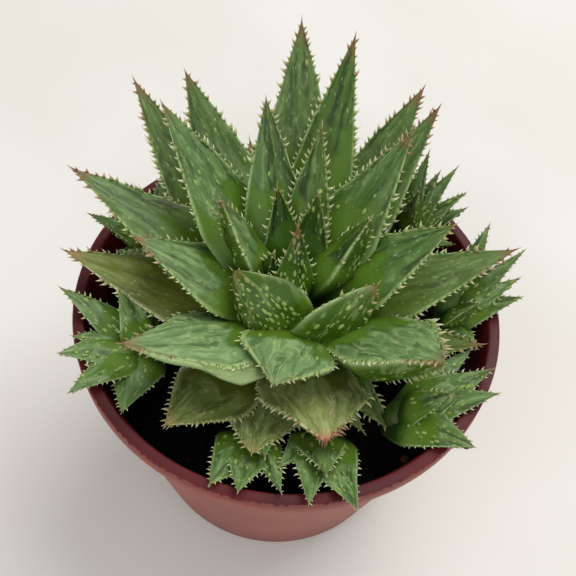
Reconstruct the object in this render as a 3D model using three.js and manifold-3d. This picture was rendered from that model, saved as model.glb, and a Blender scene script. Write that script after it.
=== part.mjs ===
// A clump of haworthia in a plastic nursery pot: one large rosette of keeled, toothed leaves on a
// short stem, and seven young plants round its foot. Millimetres, +Z up, origin under the pot's foot.
// Azimuths are in degrees, counted from +X towards +Y. The front of the pot is on the -Y side.
import * as THREE from 'three';
import { mergeVertices } from 'three/addons/utils/BufferGeometryUtils.js';
import Module from 'manifold-3d';

const wasm = await Module();
wasm.setup();

// Pot: a thin tapered beaker with a turned-out lip and a ring of drain holes in its floor.
const POT_HEIGHT = 70;
const RIM_RADIUS = 50;
const FOOT_RADIUS = 35;
const NECK_RADIUS = 47.6;
const WALL = 1.4;
const FLOOR = 1.8;
const LIP_DEPTH = 4;
const LIP_WIDTH = 2.6;
const EDGE = 0.4;
const POT_SIDES = 48;
const DRAIN_COUNT = 8;
const DRAIN_RADIUS = 3.5;
const DRAIN_RING = 23;
const DRAIN_SIDES = 12;

// Soil: a plug that ends well under the rim and is heaped a little towards the stem.
const SOIL_TOP = 56;
const SOIL_HEAP = 2.4;
const SOIL_LUMP = 0.7;
const SOIL_SIDES = 32;
const SOIL_RINGS = [44, 34, 22, 11];

// What touches keeps this gap.
const GAP = 0.3;

// Stem of the large rosette: radius and height, from its buried foot to the growing point.
const STEM_PROFILE = [[5, 44], [6.4, 52], [7, 60], [7, 66], [5, 71], [2.5, 74]];
const STEM_TOP = 75;
const STEM_SIDES = 12;
const SEAT_RADIUS = 3.5;

// Stem of a young plant.
const PUP_STEM_RADIUS = 2.8;
const PUP_STEM_FOOT = 46;
const PUP_STEM_SIDES = 8;
const PUP_COLLAR = 60;
const PUP_THICK = 0.5;
const PUP_TOOTH = 0.8;
const PUP_STEP_LENGTH = 3.4;
const PUP_LEAF_LIFT = 8;

// A leaf's outline: its base as a share of its full width, where along its length it is widest, how
// late it swells to that, how bluntly it tapers to the tip, and how much of its thickness lies over
// the margins. The rest is the keel. The thickness follows the width. A boxy leaf has full flanks.
const SLENDER = { base: 0.42, widest: 0.45, swell: 1, taper: 1.12, face: 0.24 };
const BLUNT = { base: 0.3, widest: 0.62, swell: 1.5, taper: 1.03, face: 0.16, boxy: true };
const STUBBY = { base: 0.3, widest: 0.56, swell: 1, taper: 1.57, face: 0.3 };
const YOUNG = { base: 0.7, widest: 0.35, swell: 1, taper: 1.1, face: 0.24 };
const BASE_THICK = 0.34;
const THIN_OUT = 0.75;

// Corner of a flank between keel and margin, as shares of the way out and of the depth. Thin leaves
// go without it.
const FLANK = [0.62, -0.6];
const FLANKED_FROM = 7.5;

// Teeth on both margins and on the keel point outwards and lean to the tip.
const TOOTH = 1.5;
const TOOTH_LEAN = 1.1;
const TEETH_FROM = 0.3;
const KEEL_TEETH_FROM = 0.6;
const FULL_TOOTH_WIDTH = 7;
const TOOTH_ROOM = 1.2;
const KEEL_ROOM_FROM = 0.45;
const FLANK_ROOM = 1.4;
const TIP_ROOM = 2;
const STEP_LENGTH = 3.3;
const ROOM_STEPS = 6;

const LEAF_GREEN = new THREE.MeshStandardMaterial({ color: 0x4f7a35, roughness: 0.45, metalness: 0 });
const OLD_GREEN = new THREE.MeshStandardMaterial({ color: 0x76803f, roughness: 0.5, metalness: 0 });
const PUP_GREEN = new THREE.MeshStandardMaterial({ color: 0x3f6b3a, roughness: 0.45, metalness: 0 });
const TERRACOTTA = new THREE.MeshStandardMaterial({ color: 0x925f55, roughness: 0.5, metalness: 0 });
const EARTH = new THREE.MeshStandardMaterial({ color: 0x1a1412, roughness: 0.95, metalness: 0 });

// Leaves that are still fused to the growing point. seat is [azimuth, height] on the stem, tip is
// [azimuth, reach, height], rise is the angle at which the leaf leaves the stem, roll turns the leaf
// about its own length, and keel sets its keel off the middle, as a share of the half width.
const HEART = [
  { seat: [285, 68], tip: [75, 1, 96.5], rise: 96, width: 9, thick: 6 },
  { seat: [105, 70], tip: [112, 14, 94.5], rise: 62, width: 9, thick: 5 },
  { seat: [65, 70], tip: [72, 12.6, 95], rise: 62, width: 10, thick: 5 },
  { seat: [165, 69], tip: [174, 4.5, 87], rise: 78, width: 5.5, thick: 4.5 },
];

// Large leaves, from the youngest to the oldest. The last two are old leaves low at the back.
const LEAVES = [
  { name: 'leaf_01', seat: [150, 69], tip: [155, 19, 94], rise: 64, width: 12, thick: 8.5, roll: 28 },
  { name: 'leaf_02', seat: [30, 69], tip: [25, 17.5, 94], rise: 64, width: 12.5, thick: 9.5, roll: -30 },
  { name: 'leaf_03', seat: [80, 69], tip: [83, 26, 102], rise: 60, width: 11, thick: 6 },
  {
    name: 'leaf_04', seat: [288, 65], tip: [187.5, 13.4, 82], rise: 66, width: 19.8, thick: 11,
    azimuth: 246, roll: 23, keel: 0.2, ...STUBBY,
  },
  {
    name: 'leaf_05', seat: [300, 65], tip: [356, 19.4, 82], rise: 37, width: 21.5, thick: 9.8,
    azimuth: 306, roll: -12, ...STUBBY,
  },
  { name: 'leaf_06', seat: [112, 67], tip: [108, 32, 104], rise: 58, width: 15, thick: 7 },
  { name: 'leaf_07', seat: [142, 66], tip: [141, 42, 103], rise: 50, width: 18, thick: 8 },
  { name: 'leaf_08', seat: [50, 66], tip: [50, 37, 100], rise: 50, width: 18, thick: 8 },
  {
    name: 'leaf_09', seat: [275, 65], tip: [267, 31.5, 86], rise: 47, width: 21.5, thick: 7,
    azimuth: 284, roll: -16, ...BLUNT,
  },
  { name: 'leaf_10', seat: [182, 65], tip: [180, 35, 88], rise: 42, width: 19, thick: 8 },
  { name: 'leaf_11', seat: [15, 65], tip: [18, 37, 90], rise: 42, width: 20, thick: 8 },
  { name: 'leaf_12', seat: [80, 64], tip: [80, 51, 108], rise: 46, width: 16, thick: 7 },
  { name: 'leaf_13', seat: [125, 63], tip: [125, 53, 98], rise: 36, width: 20, thick: 7.5 },
  {
    name: 'leaf_14', seat: [320, 63], tip: [320, 41, 93], rise: 32, width: 22.5, thick: 10,
    azimuth: 340, roll: -25, keel: 0.3, ...BLUNT,
  },
  {
    name: 'leaf_15', seat: [235, 62], tip: [216, 41.5, 83.5], rise: 48, width: 24, thick: 7.5,
    azimuth: 248, roll: 4, keel: -0.2, ...BLUNT,
  },
  { name: 'leaf_16', seat: [92, 62], tip: [94, 59, 104], rise: 36, width: 21, thick: 7.5 },
  { name: 'leaf_17', seat: [138, 60], tip: [136, 59, 96], rise: 28, width: 18, thick: 7 },
  { name: 'leaf_18', seat: [162, 62], tip: [163, 54.5, 90], rise: 38, width: 20, thick: 8 },
  { name: 'leaf_19', seat: [53, 62], tip: [53, 51, 98], rise: 36, width: 16, thick: 7 },
  { name: 'leaf_20', seat: [66, 60], tip: [63, 63, 90], rise: 24, width: 18, thick: 7 },
  { name: 'leaf_21', seat: [12, 61], tip: [14, 53, 82], rise: 26, width: 19, thick: 7.5 },
  { name: 'leaf_22', seat: [184, 60], tip: [179, 52, 79], rise: 26, width: 21, thick: 6.5 },
  { name: 'leaf_23', seat: [345, 59], tip: [350, 45.5, 72], rise: 18, width: 17, thick: 6.5 },
  {
    name: 'leaf_24', seat: [240, 60], tip: [238.5, 43.5, 74.4], rise: 10, width: 19.5, thick: 6,
    ...BLUNT,
  },
  {
    name: 'leaf_25', seat: [288, 60], tip: [285.5, 39.3, 76.2], rise: 22, width: 25, thick: 7,
    azimuth: 291, roll: -11, ...BLUNT,
  },
  { name: 'leaf_26', seat: [262, 59], tip: [264, 41, 73], rise: 4, width: 19, thick: 5.5, ...BLUNT },
  { name: 'leaf_27', seat: [302, 60], tip: [304.5, 34.6, 63], rise: 10, width: 12, thick: 4.5 },
  { name: 'leaf_28', seat: [318, 60], tip: [313.5, 37.7, 62.5], rise: 8, width: 12, thick: 4.5 },
  { name: 'leaf_29', seat: [108, 59], tip: [108, 47, 76], rise: 18, width: 17, thick: 6.5 },
  { name: 'leaf_30', seat: [80, 59], tip: [82, 46, 74], rise: 16, width: 16, thick: 6.5 },
];

// Leaves that have turned olive with age.
const OLD_LEAVES = ['leaf_22', 'leaf_24', 'leaf_25', 'leaf_26', 'leaf_29', 'leaf_30'];

// Young plants: foot is [azimuth, reach] in the soil, crown is the height of the growing point, and
// each leaf is its tip's azimuth, reach and height, and its width.
const PUPS = [
  {
    name: 'pup_left', foot: [203, 35], crown: 66,
    leaves: [[188, 52, 76, 9], [200, 50, 72, 9], [206, 53.5, 75, 12], [217, 54.5, 75.5, 10],
      [226, 47, 71, 13], [193, 38.5, 80, 9], [180, 36, 71, 8]],
  },
  {
    name: 'pup_back_left', foot: [155, 39], crown: 64,
    leaves: [[166, 50.5, 79, 8], [152, 53, 76, 8], [138, 48, 73, 8], [175, 42, 73, 8],
      [150, 44, 76, 7]],
  },
  {
    name: 'pup_back_right', foot: [44, 37], crown: 66,
    leaves: [[51, 48.5, 86, 7], [46, 49, 82, 7], [43, 52, 84, 7], [37, 51, 80, 7.5],
      [35, 51, 76, 8], [62, 45, 78, 7], [26, 43, 74, 7], [44, 40, 82, 6]],
  },
  {
    name: 'pup_right', foot: [4, 38], crown: 66,
    leaves: [[25, 51, 80, 8], [15, 56, 80, 7], [9, 54, 77, 8], [4, 54, 76, 9],
      [359, 43, 78, 9], [350, 45, 70, 8], [16, 42, 74, 8]],
  },
  {
    name: 'pup_front_right', foot: [318, 36], crown: 66,
    leaves: [[342, 49, 74, 11], [336, 52, 74, 10], [331, 45, 72, 12], [319.5, 54.2, 75.5, 13],
      [350, 44, 70, 8], [326, 44, 78, 9]],
  },
  {
    name: 'pup_front_left', foot: [262, 30], crown: 63,
    leaves: [[256, 49.5, 72.5, 13], [263, 50, 74, 12], [273, 48, 72, 8], [268, 41, 73, 8]],
  },
  {
    name: 'pup_front', foot: [288, 30], crown: 63,
    leaves: [[279, 51.5, 74.5, 10], [284, 46, 76, 12], [289, 54, 75.5, 13], [272, 42, 70, 7]],
  },
];

const radians = THREE.MathUtils.degToRad;
const degrees = THREE.MathUtils.radToDeg;

// A point given by azimuth, reach from the pot's axis and height.
function polar(azimuth, reach, height) {
  const turn = radians(azimuth);
  return new THREE.Vector3(reach * Math.cos(turn), reach * Math.sin(turn), height);
}

// A closed geometry as a solid that can be joined and cut.
function solidOf(geometry) {
  geometry.deleteAttribute('normal');
  geometry.deleteAttribute('uv');
  const merged = mergeVertices(geometry, 1e-4);
  const vertProperties = new Float32Array(merged.attributes.position.array);
  const triVerts = new Uint32Array(merged.index.array);
  return new wasm.Manifold(new wasm.Mesh({ numProp: 3, vertProperties, triVerts }));
}

// A solid as a named mesh of the scene graph.
function meshOf(name, solid, material) {
  const { vertProperties, triVerts } = solid.getMesh();
  const geometry = new THREE.BufferGeometry();
  geometry.setAttribute('position', new THREE.BufferAttribute(new Float32Array(vertProperties), 3));
  geometry.setIndex(new THREE.BufferAttribute(new Uint32Array(triVerts), 1));
  geometry.computeVertexNormals();
  const mesh = new THREE.Mesh(geometry, material);
  mesh.name = name;
  return mesh;
}

// The largest body of a solid, without the scraps that a cut leaves.
function largestBody(solid) {
  return solid.decompose().sort((a, b) => b.volume() - a.volume())[0];
}

function boxesMeet(a, b) {
  const [first, second] = [a.boundingBox(), b.boundingBox()];
  return first.min.every((low, i) => low < second.max[i])
    && second.min.every((low, i) => low < first.max[i]);
}

// A solid cut clear of every room that it reaches into.
function cutClear(solid, rooms) {
  const near = rooms.filter((room) => boxesMeet(solid, room));
  return largestBody(near.reduce((rest, room) => rest.subtract(room), solid));
}

// Outline of the stem, or of the room that it takes with a gap round it.
function stemOutline(gap) {
  const sides = STEM_PROFILE.map(([radius, height]) => [radius + gap, height]);
  return [[0, STEM_PROFILE[0][1] - gap], [STEM_PROFILE[0][0] + gap, STEM_PROFILE[0][1] - gap],
    ...sides.slice(1), [0, STEM_TOP + gap]];
}

// A turned body from its outline of radius and height, which starts and ends on the axis.
function turned(outline, sides) {
  const points = outline.map(([radius, height]) => new THREE.Vector2(radius, height));
  return new THREE.LatheGeometry(points, sides).rotateX(Math.PI / 2);
}

function uprightCylinder(radius, foot, top, sides, centre) {
  const cylinder = new THREE.CylinderGeometry(radius, radius, top - foot, sides);
  return solidOf(cylinder.rotateX(Math.PI / 2).translate(centre.x, centre.y, (foot + top) / 2));
}

// Swells from a share at the base to 1 where the leaf is widest.
function swollen(base, leaf, along) {
  return base + (1 - base) * Math.sin((Math.PI / 2) * (along / leaf.widest)) ** leaf.swell;
}

// Width and thickness of a leaf along its length, as shares of its full width and thickness.
function leafShares(leaf, along) {
  if (along < leaf.widest) {
    return [swollen(leaf.base, leaf, along), swollen(BASE_THICK, leaf, along)];
  }
  const width = 1 - ((along - leaf.widest) / (1 - leaf.widest)) ** leaf.taper;
  return [width, width ** THIN_OUT];
}

// The line that a leaf follows from its seat to its tip.
function leafSpine(leaf) {
  const rise = radians(leaf.rise);
  const away = polar(leaf.azimuth, Math.cos(rise), Math.sin(rise));
  const knee = leaf.foot.clone().addScaledVector(away, leaf.foot.distanceTo(leaf.tip) / 2);
  return new THREE.QuadraticBezierCurve3(leaf.foot, knee, leaf.tip);
}

// One leaf: a cone bent along its spine and given the leaf's section. On the toothed stretch every
// second step is a tooth. With a skin it is the room that the leaf takes: smooth, that much fatter,
// and wide enough for the teeth, also where they lean forward over the tapering margin.
function leafSolid(leaf, section, steps, skin = 0) {
  const cone = new THREE.ConeGeometry(1, 1, section.length, steps);
  const spine = leafSpine(leaf);
  const level = polar(leaf.azimuth - 90, 1, 0);
  const place = cone.attributes.position;
  for (let i = 0; i < place.count; i += 1) {
    const along = place.getY(i) + 0.5;
    const step = Math.round(along * steps);
    const onAxis = Math.hypot(place.getX(i), place.getZ(i)) < 1e-6;
    const turn = Math.atan2(place.getX(i), place.getZ(i)) / (2 * Math.PI) + 1;
    const [across, height] = onAxis ? [0, 0] : section[Math.round(turn * section.length) % section.length];
    const forward = spine.getTangent(along);
    const side = level.clone().addScaledVector(forward, -level.dot(forward)).normalize();
    side.applyAxisAngle(forward, radians(leaf.roll));
    const face = side.clone().cross(forward);
    const lean = skin > 0 ? (leaf.tooth * TOOTH_LEAN) / leaf.foot.distanceTo(leaf.tip) : 0;
    const back = Math.min(lean, Math.max(0, along - leaf.widest));
    const [widthShare, thickShare] = leafShares(leaf, along - back);
    const halfWidth = (widthShare * leaf.width) / 2;
    const thick = leaf.thick * thickShare * (height > 0 ? leaf.face : 1 - leaf.face);
    const tooth = leaf.tooth * Math.min(1, (2 * halfWidth) / FULL_TOOTH_WIDTH);
    let out = across * halfWidth;
    let up = height * thick;
    let ahead = 0;
    if (skin > 0) {
      out += across * (skin + leaf.tooth + TOOTH_ROOM);
      up += Math.sign(height) * skin * FLANK_ROOM;
      up -= height === -1 && along > KEEL_ROOM_FROM ? tooth + TOOTH_ROOM : 0;
      ahead = { 0: -skin, 1: skin + TIP_ROOM * leaf.tooth }[along] ?? 0;
    } else if (step % 2 === 1 && Math.abs(across) === 1 && along > TEETH_FROM) {
      out += across * tooth;
      ahead = tooth * TOOTH_LEAN;
    } else if (step % 2 === 1 && height === -1 && along > KEEL_TEETH_FROM) {
      up -= tooth;
      ahead = tooth * TOOTH_LEAN;
    }
    const point = spine.getPoint(along);
    point.addScaledVector(side, out).addScaledVector(face, up).addScaledVector(forward, ahead);
    place.setXYZ(i, point.x, point.y, point.z);
  }
  return solidOf(cone);
}

// Corners of a leaf's section, as shares of its half width and of its thickness over or under the
// margins: middle of the face, margin, flank, keel, flank, margin.
function leafSection(leaf) {
  const { keel } = leaf;
  const [out, down] = FLANK;
  if (leaf.thick < FLANKED_FROM && !leaf.boxy) {
    return [[0, 1], [1, 0], [keel, -1], [-1, 0]];
  }
  return [[0, 1], [1, 0], [keel + out * (1 - keel), down], [keel, -1],
    [keel - out * (1 + keel), down], [-1, 0]];
}

// An even count of steps along a leaf, so that teeth stand on every second one.
function evenSteps(leaf, stepLength) {
  return 2 * Math.round(leaf.foot.distanceTo(leaf.tip) / stepLength / 2);
}

// A leaf of the tables with its seat and tip as points, and with steps to suit its length. It leaves
// the stem straight away from it, unless its row gives an azimuth of its own.
function largeLeaf(row) {
  const [azimuth, height] = row.seat;
  const foot = polar(azimuth, SEAT_RADIUS, height);
  const tip = polar(...row.tip);
  const leaf = { roll: 0, keel: 0, azimuth, ...SLENDER, ...row, foot, tip, tooth: TOOTH };
  return { ...leaf, section: leafSection(leaf), steps: evenSteps(leaf, STEP_LENGTH) };
}

function potSolid() {
  const neck = POT_HEIGHT - LIP_DEPTH;
  const outline = [
    [0, 0], [FOOT_RADIUS - EDGE, 0], [FOOT_RADIUS, EDGE], [NECK_RADIUS, neck],
    [RIM_RADIUS - EDGE, neck], [RIM_RADIUS, neck + EDGE], [RIM_RADIUS, POT_HEIGHT - EDGE],
    [RIM_RADIUS - EDGE, POT_HEIGHT], [RIM_RADIUS - LIP_WIDTH + EDGE, POT_HEIGHT],
    [RIM_RADIUS - LIP_WIDTH, POT_HEIGHT - EDGE], [NECK_RADIUS - WALL, neck],
    [FOOT_RADIUS - WALL, FLOOR], [0, FLOOR],
  ];
  let pot = solidOf(turned(outline, POT_SIDES));
  for (let i = 0; i < DRAIN_COUNT; i += 1) {
    const centre = polar((360 * (i + 0.5)) / DRAIN_COUNT, DRAIN_RING, 0);
    pot = pot.subtract(uprightCylinder(DRAIN_RADIUS, -1, FLOOR + 1, DRAIN_SIDES, centre));
  }
  return pot;
}

// The space that the pot's wall and lip take, with the gap round them.
function potRoom() {
  const out = RIM_RADIUS + GAP;
  const top = POT_HEIGHT + GAP;
  const outline = [
    [0, -GAP], [out, -GAP], [out, top], [RIM_RADIUS - LIP_WIDTH - GAP, top],
    [NECK_RADIUS - WALL - GAP, POT_HEIGHT - LIP_DEPTH], [FOOT_RADIUS - WALL - GAP, FLOOR + GAP],
    [0, FLOOR + GAP],
  ];
  return solidOf(turned(outline, POT_SIDES));
}

// Height of the soil at a point: a low heap with lumps.
function soilHeight(x, y) {
  const heap = SOIL_HEAP * (1 - Math.hypot(x, y) / SOIL_RINGS[0]);
  const lumps = Math.sin(x * 0.31 + 1) * Math.cos(y * 0.27) + 0.6 * Math.sin(x * 0.13 - y * 0.22);
  return SOIL_TOP + heap + SOIL_LUMP * lumps;
}

function soilSolid(lift = 0) {
  const foot = FLOOR + GAP;
  const taper = (NECK_RADIUS - FOOT_RADIUS) / (POT_HEIGHT - LIP_DEPTH);
  const wallAt = (height) => FOOT_RADIUS - WALL - 2 * GAP + taper * height;
  const outline = [[0, foot], [wallAt(foot), foot], [wallAt(SOIL_TOP), SOIL_TOP]];
  outline.push(...SOIL_RINGS.slice(1).map((radius) => [radius, SOIL_TOP]), [0, SOIL_TOP]);
  const body = turned(outline, SOIL_SIDES);
  const place = body.attributes.position;
  for (let i = 0; i < place.count; i += 1) {
    if (place.getZ(i) > SOIL_TOP - 1) {
      place.setZ(i, soilHeight(place.getX(i), place.getY(i)) + lift);
    }
  }
  return solidOf(body);
}

// A young plant: a short stem that stands in the soil, and leaves that rise from its crown. With a
// skin it is the room that the plant takes.
function youngPlant(pup, foot, skin = 0) {
  const stem = uprightCylinder(PUP_STEM_RADIUS, PUP_STEM_FOOT, pup.crown, PUP_STEM_SIDES, foot);
  return pup.leaves.reduce((plantSoFar, [turn, reach, height, width]) => {
    const tip = polar(turn, reach, height);
    const seat = new THREE.Vector3(foot.x, foot.y, pup.crown - width / 3);
    const away = tip.clone().sub(seat);
    const level = Math.hypot(away.x, away.y);
    const leaf = {
      azimuth: degrees(Math.atan2(away.y, away.x)),
      rise: degrees(Math.atan2(away.z, level)) + PUP_LEAF_LIFT,
      foot: seat, tip, width, thick: width * PUP_THICK, roll: 0, keel: 0, tooth: PUP_TOOTH, ...YOUNG,
    };
    const steps = evenSteps(leaf, PUP_STEP_LENGTH);
    return plantSoFar.add(leafSolid(leaf, leafSection(leaf), steps, skin));
  }, stem);
}

const plant = new THREE.Group();

// Stem and heart: the youngest leaves are one body with the growing point.
const stemHole = solidOf(turned(stemOutline(GAP), STEM_SIDES));
const youngest = HEART.map(largeLeaf);
const heart = youngest.reduce(
  (rest, leaf) => rest.add(leafSolid(leaf, leaf.section, leaf.steps)),
  solidOf(turned(stemOutline(0), STEM_SIDES)),
);
const heartRoom = youngest.reduce(
  (rest, leaf) => rest.add(leafSolid(leaf, leaf.section, ROOM_STEPS, GAP)),
  stemHole,
);
plant.add(meshOf('stem_and_heart', heart, LEAF_GREEN));

// Large leaves: each older leaf is hollowed where a younger one or the stem presses into it.
const soilRoom = soilSolid(GAP);
const rooms = [heartRoom, potRoom()];
for (const row of LEAVES) {
  const leaf = largeLeaf(row);
  const solid = cutClear(leafSolid(leaf, leaf.section, leaf.steps), [soilRoom, ...rooms]);
  plant.add(meshOf(row.name, solid, OLD_LEAVES.includes(row.name) ? OLD_GREEN : LEAF_GREEN));
  rooms.push(leafSolid(leaf, leaf.section, ROOM_STEPS, GAP));
}

// Young plants grow clear of the large leaves. Only their stems go into the soil.
const stemHoles = [stemHole];
for (const pup of PUPS) {
  const foot = polar(...pup.foot, 0);
  const stem = uprightCylinder(PUP_STEM_RADIUS, PUP_STEM_FOOT, PUP_COLLAR, PUP_STEM_SIDES, foot);
  const leaves = cutClear(youngPlant(pup, foot), [soilRoom, ...rooms]);
  plant.add(meshOf(pup.name, leaves.add(stem), PUP_GREEN));
  rooms.push(youngPlant(pup, foot, GAP));
  const [radius, bottom] = [PUP_STEM_RADIUS + GAP, PUP_STEM_FOOT - GAP];
  stemHoles.push(uprightCylinder(radius, bottom, POT_HEIGHT, PUP_STEM_SIDES, foot));
}

const soil = stemHoles.reduce((rest, hole) => rest.subtract(hole), soilSolid());
plant.add(meshOf('soil', soil, EARTH));
plant.add(meshOf('pot', potSolid(), TERRACOTTA));

export default plant;
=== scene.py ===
# %% [markdown]
# # A haworthia in its nursery pot
# The object is a clump of keeled, toothed succulent leaves on a short stem, with young plants round
# its foot, in a thin plastic pot of dark soil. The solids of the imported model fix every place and
# size. This lesson dresses them: each leaf gets a finer piece that follows the same line and
# outline, and then the small things that the solids leave out.

# %% The fixed model
import math
import random

import bmesh
import bpy
from mathutils import Matrix, Quaternion, Vector, noise


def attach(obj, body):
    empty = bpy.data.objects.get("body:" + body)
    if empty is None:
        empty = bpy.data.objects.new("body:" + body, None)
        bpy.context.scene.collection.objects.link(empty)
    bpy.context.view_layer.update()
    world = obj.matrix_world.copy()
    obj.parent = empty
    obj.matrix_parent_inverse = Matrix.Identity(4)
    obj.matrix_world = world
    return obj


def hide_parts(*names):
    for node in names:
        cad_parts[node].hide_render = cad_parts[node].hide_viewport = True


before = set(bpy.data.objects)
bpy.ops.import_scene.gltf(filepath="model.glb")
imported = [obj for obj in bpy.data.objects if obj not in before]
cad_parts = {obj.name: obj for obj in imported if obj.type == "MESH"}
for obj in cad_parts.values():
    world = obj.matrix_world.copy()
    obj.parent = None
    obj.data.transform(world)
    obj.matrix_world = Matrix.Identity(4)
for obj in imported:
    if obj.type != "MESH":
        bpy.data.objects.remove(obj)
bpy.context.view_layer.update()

MM = 0.001

# %% [markdown]
# ## The camera
# The rim of the pot is a circle, so the ellipse that it makes in the picture gives the viewing
# angle. The camera looks down on the pot from the front at about 55 degrees, turned a little about
# its own line of sight. Its three axes are written out, which keeps that small turn exact.

# %% Camera
CAMERA_PLACE = Vector((-0.5, -108.76, 230.64)) * MM
CAMERA_RIGHT = Vector((0.99430, 0.08742, 0.06103))
CAMERA_UP = Vector((-0.10661, 0.81528, 0.56917))
LENS = 51.45
SENSOR_WIDTH = 36


def shown(name, data):
    """A new object in the scene, for a mesh, a lamp or a camera."""
    made = bpy.data.objects.new(name, data)
    bpy.context.scene.collection.objects.link(made)
    return made


camera_data = bpy.data.cameras.new("camera")
camera_data.sensor_width = SENSOR_WIDTH
camera_data.lens = LENS
camera = shown("camera", camera_data)
axes = Matrix((CAMERA_RIGHT, CAMERA_UP, CAMERA_RIGHT.cross(CAMERA_UP))).transposed()
camera.matrix_world = Matrix.Translation(CAMERA_PLACE) @ axes.to_4x4()
bpy.context.scene.camera = camera
print("camera looks down at", round(math.degrees(math.asin(axes[2][2])), 1), "degrees")

# %% [markdown]
# ## Nodes in few words
# Every finish here is a small network of shader nodes. A network is easier to read when one call
# adds a node, sets it and feeds its inputs, so these helpers come first.

# %% Node helpers
def srgb(red, green, blue):
    """The linear colour, as the nodes need it, of a screen colour from 0 to 255."""
    shares = [c / 255 for c in (red, green, blue)]
    return tuple(c / 12.92 if c < 0.04045 else ((c + 0.055) / 1.055) ** 2.4 for c in shares) + (1,)


def put(tree, kind, feeds=None, **settings):
    """Adds a node, sets it, and feeds its inputs with plain values or with other nodes' outputs."""
    made = tree.nodes.new(kind)
    for name, value in settings.items():
        setattr(made, name, value)
    for key, value in (feeds or {}).items():
        if isinstance(value, bpy.types.NodeSocket):
            tree.links.new(value, made.inputs[key])
        else:
            made.inputs[key].default_value = value
    return made


def calc(tree, operation, *values):
    """One step of arithmetic on one to three values, kept between 0 and 1."""
    feeds = dict(enumerate(values))
    return put(tree, "ShaderNodeMath", feeds, operation=operation, use_clamp=True).outputs[0]


def times(tree, first, *others):
    """The product of two or more values."""
    product = first
    for value in others:
        product = calc(tree, "MULTIPLY", product, value)
    return product


def times_plus(tree, value, share, rest):
    """A value times a share, plus a rest."""
    return calc(tree, "MULTIPLY_ADD", value, share, rest)


def fade(tree, value, start, end, low=0.0, high=1.0):
    """Goes smoothly from low to high as the value goes from start to end."""
    feeds = {"Value": value, "From Min": start, "From Max": end, "To Min": low, "To Max": high}
    return put(tree, "ShaderNodeMapRange", feeds, interpolation_type="SMOOTHSTEP").outputs[0]


def mixed(tree, share, first, second):
    """The first colour with a share of the second mixed in."""
    feeds = {0: share, 6: first, 7: second}
    return put(tree, "ShaderNodeMix", feeds, data_type="RGBA").outputs[2]


def vector_calc(tree, operation, *vectors):
    """One step of arithmetic on vectors."""
    return put(tree, "ShaderNodeVectorMath", dict(enumerate(vectors)), operation=operation).outputs


def stretched(tree, vector, scale):
    """The vector with its parts scaled, which stretches a pattern."""
    return vector_calc(tree, "MULTIPLY", vector, scale)[0]


def grain(tree, vector, scale, detail=2.0, roughness=0.5):
    """Cloudy noise between 0 and 1. A larger scale makes it finer."""
    feeds = {"Vector": vector, "Scale": scale, "Detail": detail, "Roughness": roughness}
    return put(tree, "ShaderNodeTexNoise", feeds).outputs[0]


def cells(tree, vector, randomness, **settings):
    """Distances from the centres of scattered cells, or from their edges if set so."""
    feeds = {"Vector": vector, "Scale": 1.0, "Randomness": randomness}
    return put(tree, "ShaderNodeTexVoronoi", feeds, **settings).outputs[0]


def object_place(tree):
    """Where a point lies on the object, in metres."""
    return put(tree, "ShaderNodeTexCoord").outputs["Object"]


def parts_of(tree, vector):
    """The three parts of a vector, each as an output."""
    return put(tree, "ShaderNodeSeparateXYZ", {0: vector}).outputs


def attribute(tree, name):
    """A value that the points of the mesh carry."""
    return put(tree, "ShaderNodeAttribute", attribute_name=name).outputs


def new_group(name, inputs, outputs):
    """An empty node group, with its input and output sockets by name."""
    tree = bpy.data.node_groups.new(name, "ShaderNodeTree")
    for in_out, sockets in (("INPUT", inputs), ("OUTPUT", outputs)):
        for label, kind in sockets.items():
            tree.interface.new_socket(label, in_out=in_out, socket_type="NodeSocket" + kind)
    return tree, tree.nodes.new("NodeGroupInput").outputs, tree.nodes.new("NodeGroupOutput").inputs


def new_finish(name, **constants):
    """An empty material with its Principled shader, whose constant values are set on its own sockets."""
    finish = bpy.data.materials.new(name)
    finish.use_nodes = True
    shader = finish.node_tree.nodes["Principled BSDF"]
    for label, value in constants.items():
        shader.inputs[label.replace("_", " ")].default_value = value
    return finish, finish.node_tree, shader.inputs


def bump(tree, shader, height, distance, strength=1.0):
    """Lets a height move the shading, as if the skin rose by up to the distance in millimetres."""
    feeds = {"Height": height, "Distance": distance * MM, "Strength": strength}
    tree.links.new(put(tree, "ShaderNodeBump", feeds).outputs[0], shader["Normal"])


print("node helpers ready")

# %% [markdown]
# ## Floor and light
# The pot stands on a plain pale floor under soft daylight from the right and behind, so its shadow
# falls softly to the lower left. One broad area lamp makes that shadow. A weaker one in front and a
# pale sky fill it, so the near side of the pot keeps its colour.

# %% Floor and light
FLOOR_HALF = 1.5
DAYLIGHT = (1.0, 0.99, 0.97)
LIT_POINT = Vector((0, 0, 0.05))
SKY_COLOUR = (0.95, 0.97, 1.0, 1)
SKY_STRENGTH = 0.62


def mesh_of(name, bm):
    """Writes a finished bmesh to a new mesh."""
    mesh = bpy.data.meshes.new(name)
    bm.to_mesh(mesh)
    bm.free()
    return mesh


bm = bmesh.new()
bmesh.ops.create_grid(bm, x_segments=1, y_segments=1, size=FLOOR_HALF)
floor = shown("floor", mesh_of("floor", bm))

floor_finish, tree, shader = new_finish("floor_paint", Roughness=0.6, Specular_IOR_Level=0.2)
cloud = grain(tree, object_place(tree), 9, 2)
floor_tone = mixed(tree, fade(tree, cloud, 0.35, 0.7), srgb(215, 212, 204), srgb(221, 219, 213))
tree.links.new(floor_tone, shader["Base Color"])
floor.data.materials.append(floor_finish)


def lamp(name, place, size, power):
    """A square area lamp that faces the plant. Its place and size are in metres."""
    data = bpy.data.lights.new(name, "AREA")
    data.size = size
    data.energy = power
    data.color = DAYLIGHT
    made = shown(name, data)
    made.location = place
    made.rotation_euler = (LIT_POINT - Vector(place)).to_track_quat("-Z", "Y").to_euler()


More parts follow.
